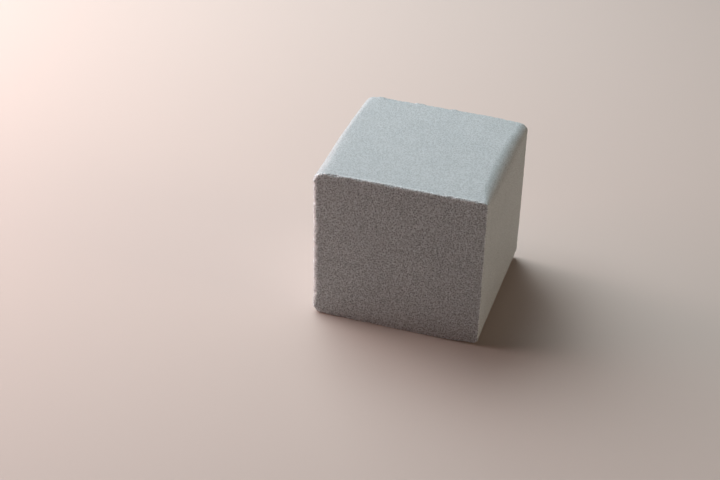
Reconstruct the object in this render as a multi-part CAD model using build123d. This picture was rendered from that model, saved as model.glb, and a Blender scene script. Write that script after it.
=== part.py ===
from build123d import *

import os

# A small block of rigid floral foam, cut from a longer bar.
# Units are millimetres. +Z is up, -Y is the front cut end and +X is the right side.
# The origin is the centre of the flat base, so the block stands on z = 0.

# Overall size. The bar's section is width by height, and depth is the length cut off it.
width = 30.0
height = 28.6
depth = 29.0

# The bar's four long edges, which run front to back, are worn round.
top_left_radius = 1.5
top_right_radius = 1.8
bottom_right_radius = 1.6
bottom_left_radius = 2.6

# The cutting wire leaves the edges round both ends almost sharp.
cut_edge_radius = 0.35

# Each long edge by its side in X, its side in Z and its radius.
LONG_EDGES = [
    (-1, 1, top_left_radius),
    (1, 1, top_right_radius),
    (1, -1, bottom_right_radius),
    (-1, -1, bottom_left_radius),
]


def long_edge(block, side_x, side_z):
    """The edge along Y that lies on one side in X and one side in Z."""
    edges = block.edges().filter_by(Axis.Y)
    return max(edges, key=lambda edge: side_x * edge.center().X + side_z * edge.center().Z)


def round_long_edges(block):
    """Round the bar's four long edges, each to its own radius."""
    for side_x, side_z, radius in LONG_EDGES:
        block = fillet(long_edge(block, side_x, side_z), radius)
    return block


def soften_cut_ends(block):
    """Break the outline of the front and the back cut face."""
    ends = block.faces().sort_by(Axis.Y)
    return fillet(ends[0].edges() + ends[-1].edges(), cut_edge_radius)


def make_foam_block():
    """One solid: foam of this kind is a single piece with nothing inside it."""
    standing_on_base = (Align.CENTER, Align.CENTER, Align.MIN)
    block = Box(width, depth, height, align=standing_on_base)
    block = round_long_edges(block)
    return soften_cut_ends(block)


os.makedirs("parts", exist_ok=True)
export_step(make_foam_block(), "parts/foam_block.step")
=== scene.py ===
import math

import bpy
import numpy as np
from mathutils import Matrix, Vector, noise


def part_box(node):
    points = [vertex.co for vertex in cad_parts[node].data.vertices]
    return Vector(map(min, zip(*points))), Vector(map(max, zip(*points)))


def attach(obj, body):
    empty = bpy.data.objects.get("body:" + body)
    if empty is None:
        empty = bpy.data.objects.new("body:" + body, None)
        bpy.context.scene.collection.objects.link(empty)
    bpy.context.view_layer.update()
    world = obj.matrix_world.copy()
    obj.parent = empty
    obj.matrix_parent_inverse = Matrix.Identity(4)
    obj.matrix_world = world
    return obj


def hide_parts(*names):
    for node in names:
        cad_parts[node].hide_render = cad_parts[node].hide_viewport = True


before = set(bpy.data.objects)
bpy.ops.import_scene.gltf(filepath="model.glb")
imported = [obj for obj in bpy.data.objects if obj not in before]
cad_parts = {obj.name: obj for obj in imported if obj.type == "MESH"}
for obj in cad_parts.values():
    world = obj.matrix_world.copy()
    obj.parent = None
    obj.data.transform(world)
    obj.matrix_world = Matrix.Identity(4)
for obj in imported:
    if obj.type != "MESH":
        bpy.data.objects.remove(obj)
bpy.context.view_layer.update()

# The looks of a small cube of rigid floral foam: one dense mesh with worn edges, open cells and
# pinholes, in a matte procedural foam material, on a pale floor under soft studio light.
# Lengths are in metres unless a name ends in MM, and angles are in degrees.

MM = 0.001
LOW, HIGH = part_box("foam_block")
CENTRE = (LOW + HIGH) / 2
HALF_MM = np.array((HIGH - LOW) / 2) / MM

# Mesh spacing: fine at the edges, where the foam crumbles, and wider over STEP_RAMP_MM towards
# the middle of a face.
EDGE_STEP_MM = 0.09
FACE_STEP_MM = 0.20
STEP_RAMP_MM = 3.0

# Radii of the long edges, by side in X and side in Z, at four places from the front to the back.
LONG_EDGE_PLACES = (0.0, 0.15, 0.45, 1.0)
LONG_EDGES_MM = {
    (-1, 1): (1.62, 1.75, 1.35, 1.5),
    (1, 1): (0.6, 2.1, 2.5, 1.7),
    (1, -1): (1.0, 1.8, 2.1, 2.2),
    (-1, -1): (1.5, 2.2, 2.6, 2.6),
}
LONG_EDGE_WAVER = 0.07

# Radii of the edges round the cut ends, by end in Y and side (left, right, bottom, top). Crumbling
# changes them by up to a share, and chips the foam within a short reach of them.
CUT_EDGES_MM = {
    -1: (0.99, 0.14, 0.16, 0.34),
    1: (0.40, 0.30, 0.35, 0.09),
}
CRUMBLE_SHARE = 0.32
CUT_EDGE_LEAST_MM = 0.08
CRUMBLE_REACH_MM = 0.5

# How pale the edges are painted, from 0 to 1: partly paler worn foam and partly a painted
# highlight where the rounded edges catch the light, strongest on the front's left edge.
PALE_AND_HIGHLIGHT_EDGES = {
    -1: (1.0, 0.30, 0.5, 0.65),
    1: (0.2, 0.2, 0.2, 0.2),
}

# The base rises towards its front right corner and the top drops towards its back right one.
BASE_RISE_MM = 0.45
TOP_DROP_MM = 0.32
CORNER_REACH_MM = 5.0

# The top drops towards its left edge, most of all at the front. The drops are at places from the
# front to the back.
LEFT_DROP_PLACES = (0.0, 0.18, 0.30, 0.50, 0.70, 1.0)
LEFT_DROPS_MM = (0.70, 0.52, 0.27, 0.18, 0.08, 0.25)
LEFT_DROP_REACH_MM = 1.6

# The top's back edge is worn down a little, except at three crumbs left standing on it, each given
# by its place in X and its half width.
BACK_EDGE_WEAR_MM = 0.15
BACK_EDGE_REACH_MM = 0.9
CRUMBS_MM = [(-12.0, 0.7), (-4.7, 0.9), (1.6, 0.6)]

# Sizes of the foam's texture, and how deep each part of it goes. The open cells and the grain go
# deeper by the second depth where the foam is cut open.
UNEVEN_SIZE_MM, UNEVEN_DEPTH_MM = 9.0, 0.05
GRAIN_SIZE_MM, GRAIN_DEPTHS_MM = 0.75, (0.012, 0.030)
CELL_SIZE_MM, CELL_DEPTHS_MM = 0.5, (0.012, 0.045)
CHIP_SIZE_MM, CHIP_DEPTH_MM = 0.5, 0.20
FULL_PIT_MM = 0.12

# Pinholes, where a large bubble was cut open.
PINHOLES_PER_CUT_END = 9
PINHOLES_PER_LONG_SIDE = 1
PINHOLE_RADII_MM = (0.14, 0.28)
PINHOLE_DEPTH_SHARE = 0.38
RANDOM_SEED = 7

# The studio.
FLOOR_HALF_SIZE = 0.42
FLOOR_COLOUR = (0.578, 0.50, 0.46, 1)

# The camera: where it stands as seen from the block, which way it looks, and its lens.
CAMERA_AZIMUTH, CAMERA_ELEVATION, CAMERA_DISTANCE = 14.915, 32.43, 0.2531
CAMERA_HEADING, CAMERA_PITCH, CAMERA_ROLL = 17.73, 33.45, 1.22
LENS_MM, SENSOR_WIDTH_MM = 72.0, 36.0

# Small numbers that keep a comparison or a division safe.
TOUCHING_MM = 1e-9
LEAST_MM = 1e-6


def graded_lines(half):
    """Grid positions from -half to half, close together towards both ends."""
    reaches = [0.0]
    while reaches[-1] < half:
        ramp = min(reaches[-1] / STEP_RAMP_MM, 1.0)
        reaches.append(reaches[-1] + EDGE_STEP_MM + (FACE_STEP_MM - EDGE_STEP_MM) * ramp)
    outwards = half - np.array(reaches) * half / reaches[-1]
    return np.concatenate([-outwards, outwards[-2::-1]])


def box_surface(counts):
    """Grid indices of the points on a box's six sides, and the outward quads that join them."""
    sides = []
    for axis in range(3):
        across, up = (axis + 1) % 3, (axis + 2) % 3
        cells = np.meshgrid(np.arange(counts[across] - 1), np.arange(counts[up] - 1))
        first, second = cells[0].ravel(), cells[1].ravel()
        for level in (0, counts[axis] - 1):
            quads = np.zeros((first.size, 4, 3), int)
            quads[:, :, axis] = level
            for corner, (step_across, step_up) in enumerate(((0, 0), (1, 0), (1, 1), (0, 1))):
                quads[:, corner, across] = first + step_across
                quads[:, corner, up] = second + step_up
            sides.append(quads if level else quads[:, ::-1])
    corners = np.concatenate(sides).reshape(-1, 3)
    points, places = np.unique(corners, axis=0, return_inverse=True)
    return points, places.reshape(-1, 4)


def fractal(points, size, octaves=1, seed=0):
    """Perlin noise, about -1 to 1, at each point, for features of about size."""
    offset = Vector((seed * 17.3, seed * 5.1, seed * 9.7))
    return np.array([
        noise.fractal(Vector(point) / size + offset, 1.0, 2.0, octaves) for point in points
    ])


def cell_distance(points, size, seed=0):
    """Distance from each point to its nearest foam cell's middle, in cell sizes."""
    offset = Vector((seed * 11.9, seed * 3.7, seed * 7.3))
    return np.array([noise.voronoi(Vector(point) / size + offset)[0][0] for point in points])


def by_quadrant(x, z, values):
    """For each point, the value of the long edge in its own quarter of the section."""
    result = np.zeros(len(x))
    for (side_x, side_z), value in values.items():
        here = (np.where(x < 0, -1, 1) == side_x) & (np.where(z < 0, -1, 1) == side_z)
        result[here] = value[here] if np.ndim(value) else value
    return result


def long_edge_radii(points):
    """Radius of the nearest long edge at each point, which changes from front to back."""
    x, y, z = points.T
    back = (y / HALF_MM[1] + 1) / 2
    tapers = {
        sides: np.interp(back, LONG_EDGE_PLACES, radii) for sides, radii in LONG_EDGES_MM.items()
    }
    along = np.column_stack([np.sign(x) * 9.0, y, np.sign(z) * 9.0])
    waver = 1 + LONG_EDGE_WAVER * fractal(along, 2.2, 2, seed=1)
    return by_quadrant(x, z, tapers) * waver


def by_side(points, values):
    """Each point's value, from those of its end's left, right, bottom and top, by nearness."""
    x, z = points[:, 0] / HALF_MM[0], points[:, 2] / HALF_MM[2]
    nearness = np.clip(np.array([-x, x, -z, z]), 0.01, 1) ** 12
    front, back = np.array(values[-1])[:, None], np.array(values[1])[:, None]
    at_end = np.where(points[:, 1] < 0, front, back)
    return (at_end * nearness).sum(axis=0) / nearness.sum(axis=0)


def cut_edge_radii(points):
    """Radius of the nearest cut edge at each point, which changes where it has crumbled."""
    crumbled = 1 + CRUMBLE_SHARE * fractal(points, 0.9, 3, seed=2)
    return np.maximum(by_side(points, CUT_EDGES_MM) * crumbled, CUT_EDGE_LEAST_MM)


def round_section(x, z, inset, radii):
    """Round the corners of each ring of the section, a ring being inset from the outline."""
    half_x, half_z = HALF_MM[0] - inset, HALF_MM[2] - inset
    radius = np.maximum(radii - inset, LEAST_MM)
    size_x, size_z = np.abs(x), np.abs(z)
    on_side = half_x - size_x <= half_z - size_z + TOUCHING_MM
    from_corner = np.where(on_side, half_z - size_z, half_x - size_x)
    share = np.clip(from_corner / radius, 0, 1)
    angle = np.radians(np.where(on_side, 45 * (1 - share), 45 * (1 + share)))
    curved = from_corner < radius
    arc_x = half_x - radius * (1 - np.cos(angle))
    arc_z = half_z - radius * (1 - np.sin(angle))
    new_x = np.where(curved, arc_x, size_x) * np.where(x < 0, -1, 1)
    new_z = np.where(curved, arc_z, size_z) * np.where(z < 0, -1, 1)
    return new_x, new_z


def rounded_block(points):
    """Wrap the box's grid round its worn edges. Gives the points, how near a cut edge each one
    is, and how pale it is painted there: partly worn foam, partly a painted highlight on the edge."""
    x, y, z = points.T
    on_cap = HALF_MM[1] - np.abs(y) < TOUCHING_MM
    ring = np.where(on_cap, np.minimum(HALF_MM[0] - np.abs(x), HALF_MM[2] - np.abs(z)), 0)
    grow_x = HALF_MM[0] / np.maximum(HALF_MM[0] - ring, LEAST_MM)
    grow_z = HALF_MM[2] / np.maximum(HALF_MM[2] - ring, LEAST_MM)
    outline = np.column_stack([x * grow_x, np.sign(y) * HALF_MM[1], z * grow_z])

    cut = cut_edge_radii(outline)
    from_end = HALF_MM[1] - np.abs(y)
    from_edge = np.where(on_cap, ring, from_end)
    near_end = from_edge < cut
    share = np.clip(from_edge / cut, 0, 1)
    angle = np.radians(np.where(on_cap, 45 * (1 + share), 45 * (1 - share)))
    inset = np.where(near_end, cut * (1 - np.cos(angle)), ring)
    depth = np.where(near_end, cut * (1 - np.sin(angle)), from_end)

    ring_x = x * (HALF_MM[0] - inset) / np.maximum(HALF_MM[0] - ring, LEAST_MM)
    ring_z = z * (HALF_MM[2] - inset) / np.maximum(HALF_MM[2] - ring, LEAST_MM)
    new_x, new_z = round_section(ring_x, ring_z, inset, long_edge_radii(points))
    new_y = (HALF_MM[1] - depth) * np.where(y < 0, -1, 1)
    near_cut_edge = np.clip(1 - from_edge / (cut + CRUMBLE_REACH_MM), 0, 1)
    # How pale each point is painted: partly worn foam, partly a painted highlight along the edge.
    pale = near_cut_edge * by_side(outline, PALE_AND_HIGHLIGHT_EDGES)
    return np.column_stack([new_x, new_y, new_z]), near_cut_edge, pale


def vertex_normals(points, quads):
    """Outward normals, averaged from the quads round each point."""
    a, b, c, d = (points[quads[:, corner]] for corner in range(4))
    faces = np.cross(c - a, d - b)
    normals = np.zeros_like(points)
    for corner in range(4):
        np.add.at(normals, quads[:, corner], faces)
    return normals / np.linalg.norm(normals, axis=1)[:, None]


def height_changes(points):
    """How far each point moves up or down where handling has worn the base and the top."""
    x, y, z = points.T
    base = np.clip(-z / HALF_MM[2], 0, 1) ** 6
    top = np.clip(z / HALF_MM[2], 0, 1) ** 6
    front_right = np.hypot(HALF_MM[0] - x, HALF_MM[1] + y) / CORNER_REACH_MM
    back_right = np.hypot(HALF_MM[0] - x, HALF_MM[1] - y) / CORNER_REACH_MM
    rise = BASE_RISE_MM * base * np.exp(-(front_right**2))
    drop = TOP_DROP_MM * top * np.exp(-(back_right**2))
    left = np.exp(-(((HALF_MM[0] + x) / LEFT_DROP_REACH_MM) ** 2))
    drop += top * left * np.interp((y / HALF_MM[1] + 1) / 2, LEFT_DROP_PLACES, LEFT_DROPS_MM)
    back_edge = np.hypot(HALF_MM[1] - y, HALF_MM[2] - z) / BACK_EDGE_REACH_MM
    standing = sum(np.exp(-(((x - place) / width) ** 4)) for place, width in CRUMBS_MM)
    drop += BACK_EDGE_WEAR_MM * np.exp(-(back_edge**2)) * (1 - standing)
    return rise - drop


def pinholes(points, normals):
    """Scattered small pits where a large bubble was cut open: their depth at each point."""
    random = np.random.default_rng(RANDOM_SEED)
    depth = np.zeros(len(points))
    for axis in range(3):
        for side in (-1, 1):
            facing = normals[:, axis] * side > 0.7
            here = points[facing]
            for _ in range(PINHOLES_PER_CUT_END if axis == 1 else PINHOLES_PER_LONG_SIDE):
                middle = random.uniform(-0.94, 0.94, 3) * HALF_MM
                middle[axis] = side * HALF_MM[axis]
                radius = random.uniform(*PINHOLE_RADII_MM)
                gap = np.linalg.norm(here - middle, axis=1) / radius
                pit = PINHOLE_DEPTH_SHARE * radius * np.clip(1 - gap**2, 0, 1)
                depth[facing] = np.maximum(depth[facing], pit)
    return depth


def foam_surface(points, near_cut_edge, cut_open, normals):
    """Depth of the foam's surface under the worn block at each point, and the deep part alone: the
    chips and pinholes, which the material darkens as painted shade.
    """
    unevenness = UNEVEN_DEPTH_MM * np.clip(fractal(points, UNEVEN_SIZE_MM, 2, seed=3), 0, 1)
    grain_depth = GRAIN_DEPTHS_MM[0] + GRAIN_DEPTHS_MM[1] * cut_open
    grain = grain_depth * np.clip(fractal(points, GRAIN_SIZE_MM, 3, seed=4), 0, 1)
    cell_depth = CELL_DEPTHS_MM[0] + CELL_DEPTHS_MM[1] * cut_open
    open_cells = cell_depth * np.clip(1 - cell_distance(points, CELL_SIZE_MM, seed=5) / 0.6, 0, 1)
    chip_depth = CHIP_DEPTH_MM * near_cut_edge
    chips = chip_depth * np.clip(fractal(points, CHIP_SIZE_MM, 2, seed=6), 0, 1)
    pits = pinholes(points, normals)
    return unevenness + grain + open_cells + chips + pits, chips + pits


def add_attribute(mesh, name, values):
    """Store one number per point, for the material to read."""
    layer = mesh.attributes.new(name, "FLOAT", "POINT")
    layer.data.foreach_set("value", values.astype(np.float32))


def make_foam_cube():
    """The whole block as one closed mesh, with its wear and its cells in the shape itself."""
    lines = [graded_lines(half) for half in HALF_MM]
    indices, quads = box_surface([len(line) for line in lines])
    grid = np.column_stack([lines[axis][indices[:, axis]] for axis in range(3)])
    points, near_cut_edge, pale = rounded_block(grid)
    normals = vertex_normals(points, quads)
    cut_open = np.clip(np.abs(normals[:, 1]) * 1.6 - 0.3, 0, 1)
    depth, deep = foam_surface(points, near_cut_edge, cut_open, normals)
    shaped = points - normals * depth[:, None]
    shaped[:, 2] += height_changes(points)
    places = shaped * MM + np.array(CENTRE)

    mesh = bpy.data.meshes.new("foam_cube")
    mesh.from_pydata(places.tolist(), [], quads.tolist())
    mesh.polygons.foreach_set("use_smooth", np.ones(len(quads), bool))
    # Paleness of the edges for the material: partly worn foam, partly a painted highlight.
    add_attribute(mesh, "edge_wear_and_highlight", pale)
    add_attribute(mesh, "cut_open", cut_open)
    # The material darkens the pinholes and chips by this depth, as painted shade.
    add_attribute(mesh, "pit_depth", np.clip(deep / FULL_PIT_MM, 0, 1))
    mesh.update()
    cube = bpy.data.objects.new("foam_cube", mesh)
    bpy.context.scene.collection.objects.link(cube)
    return cube


class Nodes:
    """A short way to add and join the nodes of one material."""

    def __init__(self, name):
        self.material = bpy.data.materials.new(name)
        self.material.use_nodes = True
        self.tree = self.material.node_tree
        self.shader = self.tree.nodes["Principled BSDF"]

    def plug(self, socket, value):
        """Set an input to a number or colour, or join it to another node's output."""
        if isinstance(value, bpy.types.NodeSocket):
            self.tree.links.new(value, socket)
        else:
            socket.default_value = value

    def add(self, kind, output=0, settings=None, **inputs):
        """Add a node, plug its inputs by name and give back one output."""
        node = self.tree.nodes.new(kind)
        for key, value in (settings or {}).items():
            setattr(node, key, value)
        for key, value in inputs.items():
            self.plug(node.inputs[key.replace("_", " ")], value)
        return node.outputs[output]

    def place(self):
        """Each point's place on the piece, in metres."""
        return self.add("ShaderNodeTexCoord", output="Object")

    def noise(self, size, detail=2.0, roughness=0.5):
        """Noise from 0 to 1 with features of about size."""
        return self.add("ShaderNodeTexNoise", output="Fac", Vector=self.place(), Scale=1 / size,
                        Detail=detail, Roughness=roughness)

    def cells(self, size):
        """Distance to the middle of the nearest cell, in cells of about size."""
        return self.add("ShaderNodeTexVoronoi", output="Distance", Vector=self.place(),
                        Scale=1 / size)

    def attribute(self, name):
        """A number stored on the mesh, one per point."""
        return self.add("ShaderNodeAttribute", output="Fac", settings={"attribute_name": name})

    def remap(self, value, low, high, to_low, to_high):
        """Carry a number from one range to another, stopping at both ends."""
        return self.add("ShaderNodeMapRange", Value=value, From_Min=low, From_Max=high,
                        To_Min=to_low, To_Max=to_high)

    def maths(self, operation, first, second):
        """Add, multiply or compare two numbers."""
        node = self.tree.nodes.new("ShaderNodeMath")
        node.operation = operation
        self.plug(node.inputs[0], first)
        self.plug(node.inputs[1], second)
        return node.outputs[0]

    def mix(self, share, first, second):
        """Blend two colours."""
        node = self.tree.nodes.new("ShaderNodeMix")
        node.data_type = "RGBA"
        self.plug(node.inputs["Factor"], share)
        self.plug(node.inputs[6], first)
        self.plug(node.inputs[7], second)
        return node.outputs[2]

    def shade(self, colour, brightness):
        """Multiply a colour by a number."""
        node = self.tree.nodes.new("ShaderNodeVectorMath")
        node.operation = "SCALE"
        self.plug(node.inputs[0], colour)
        self.plug(node.inputs["Scale"], brightness)
        return node.outputs[0]

    def bump(self, height, distance, strength=1.0, under=None):
        inputs = {"Height": height, "Distance": distance, "Strength": strength}
        if under is not None:
            inputs["Normal"] = under
        return self.add("ShaderNodeBump", output="Normal", **inputs)


def foam_material():
    """Powdery grey-blue foam: fine cells with painted shade in their hollows, strongest where they
    are cut open, painted shade in the pits, and paler edges that are partly worn foam and partly a
    painted highlight.
    """
    foam = Nodes("rigid_foam")
    tint = foam.remap(foam.noise(0.0045, detail=3.0), 0.3, 0.7, 0.0, 1.0)
    colour = foam.mix(tint, (0.412, 0.452, 0.468, 1), (0.434, 0.474, 0.488, 1))

    # The cells: dark in their hollows and pale on their walls, a painted shade and light of their
    # relief, strongest on the cut ends where the cells are open. The fine noise adds a random
    # tone.
    cut_open = foam.attribute("cut_open")
    contrast = foam.remap(cut_open, 0.0, 1.0, 0.42, 1.0)
    cell = foam.cells(0.00027)
    painted_cell_shade = foam.remap(cell, 0.10, 0.62, -0.55, 0.34)
    dust = foam.remap(foam.noise(0.00022, detail=2.0), 0.3, 0.7, -0.25, 0.29)
    grain = foam.maths("MULTIPLY", foam.maths("ADD", painted_cell_shade, dust), contrast)
    # Painted shade in the pinholes and chips, darker the deeper they go.
    pits = foam.remap(foam.attribute("pit_depth"), 0.15, 1.0, 1.0, 0.84)
    # Paler edges: partly worn foam, partly a painted highlight where the rounded edges catch the
    # light.
    wear_and_highlight = foam.remap(foam.attribute("edge_wear_and_highlight"), 0.15, 0.72, 1.0, 1.65)
    brightness = foam.maths("ADD", grain, 1.0)
    for share in (pits, wear_and_highlight):
        brightness = foam.maths("MULTIPLY", brightness, share)
    palest = foam.maths("MINIMUM", brightness, 1.85)
    foam.plug(foam.shader.inputs["Base Color"], foam.shade(colour, palest))

    roughness = foam.remap(foam.noise(0.0006, detail=2.0), 0.3, 0.7, 0.88, 1.0)
    foam.plug(foam.shader.inputs["Roughness"], roughness)
    foam.plug(foam.shader.inputs["Specular IOR Level"], 0.2)

    cell_walls = foam.bump(cell, 0.00010, foam.remap(cut_open, 0.0, 1.0, 0.30, 1.0))
    powder = foam.bump(foam.noise(0.00024, detail=2.0, roughness=0.6), 0.00008,
                       foam.remap(cut_open, 0.0, 1.0, 0.6, 1.0), under=cell_walls)
    foam.plug(foam.shader.inputs["Normal"], powder)
    return foam.material


def plain_material(name, colour, roughness):
    """An even finish for the studio's floor."""
    plain = Nodes(name)
    plain.plug(plain.shader.inputs["Base Color"], colour)
    plain.plug(plain.shader.inputs["Roughness"], roughness)
    return plain.material


def make_floor():
    """A pale floor just under the block."""
    size = FLOOR_HALF_SIZE
    corners = [(-size, -size, 0), (size, -size, 0), (size, size, 0), (-size, size, 0)]
    mesh = bpy.data.meshes.new("floor")
    mesh.from_pydata(corners, [], [(0, 1, 2, 3)])
    floor = bpy.data.objects.new("floor", mesh)
    floor.location.z = LOW.z
    floor.data.materials.append(plain_material("pale_floor", FLOOR_COLOUR, 0.9))
    bpy.context.scene.collection.objects.link(floor)


def around(azimuth, elevation, distance):
    """A point seen from the block's centre. Azimuth 0 is in front, and 90 is on the right."""
    turn, rise = math.radians(azimuth), math.radians(elevation)
    level = distance * math.cos(rise)
    return CENTRE + Vector((level * math.sin(turn), -level * math.cos(turn),
                            distance * math.sin(rise)))


def softbox(name, azimuth, elevation, distance, size, power, colour):
    """A square soft light that faces the block and stays out of every picture."""
    lamp = bpy.data.lights.new(name, "AREA")
    lamp.shape = "SQUARE"
    lamp.size = size
    lamp.energy = power
    lamp.color = colour
    box = bpy.data.objects.new(name, lamp)
    box.location = around(azimuth, elevation, distance)
    box.rotation_euler = (CENTRE - box.location).to_track_quat("-Z", "Y").to_euler()
    box.visible_camera = False
    bpy.context.scene.collection.objects.link(box)


def light_studio():
    """A softbox high at the back left, and low warm ones on the left and on the right. They stand
    in a dim room, which the camera sees as a pale backdrop."""
    softbox("key_softbox", -122, 48, 0.34, 0.34, 1.81, (0.91, 0.982, 1.0))
    softbox("left_softbox", -86, 8, 0.22, 0.20, 0.46, (1.0, 0.59, 0.54))
    softbox("right_softbox", 88, 11, 0.40, 0.10, 0.39, (1.0, 0.78, 0.60))
    world = bpy.data.worlds.new("studio")
    world.use_nodes = True
    tree = world.node_tree
    lit, seen = tree.nodes["Background"], tree.nodes.new("ShaderNodeBackground")
    lit.inputs["Color"].default_value = (1.0, 0.9, 0.85, 1)
    lit.inputs["Strength"].default_value = 0.01
    seen.inputs["Color"].default_value = (0.90, 0.90, 0.89, 1)
    pick, rays = tree.nodes.new("ShaderNodeMixShader"), tree.nodes.new("ShaderNodeLightPath")
    tree.links.new(rays.outputs["Is Camera Ray"], pick.inputs["Fac"])
    tree.links.new(lit.outputs[0], pick.inputs[1])
    tree.links.new(seen.outputs[0], pick.inputs[2])
    tree.links.new(pick.outputs[0], tree.nodes["World Output"].inputs["Surface"])
    bpy.context.scene.world = world
    bpy.context.scene.view_settings.view_transform = "Standard"


def make_camera():
    """A short telephoto view from the front right and above, tipped a little to the left."""
    lens = bpy.data.cameras.new("camera")
    lens.sensor_width = SENSOR_WIDTH_MM
    lens.lens = LENS_MM
    camera = bpy.data.objects.new("camera", lens)
    heading = Matrix.Rotation(math.radians(CAMERA_HEADING), 4, "Z")
    tilt = Matrix.Rotation(math.radians(90 - CAMERA_PITCH), 4, "X")
    roll = Matrix.Rotation(math.radians(CAMERA_ROLL), 4, "Z")
    stands_at = around(CAMERA_AZIMUTH, CAMERA_ELEVATION, CAMERA_DISTANCE)
    camera.matrix_world = Matrix.Translation(stands_at) @ heading @ tilt @ roll
    bpy.context.scene.collection.objects.link(camera)
    bpy.context.scene.camera = camera


foam_cube = make_foam_cube()
foam_cube.data.materials.append(foam_material())
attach(foam_cube, "root")
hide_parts("foam_block")

make_floor()
light_studio()
make_camera()
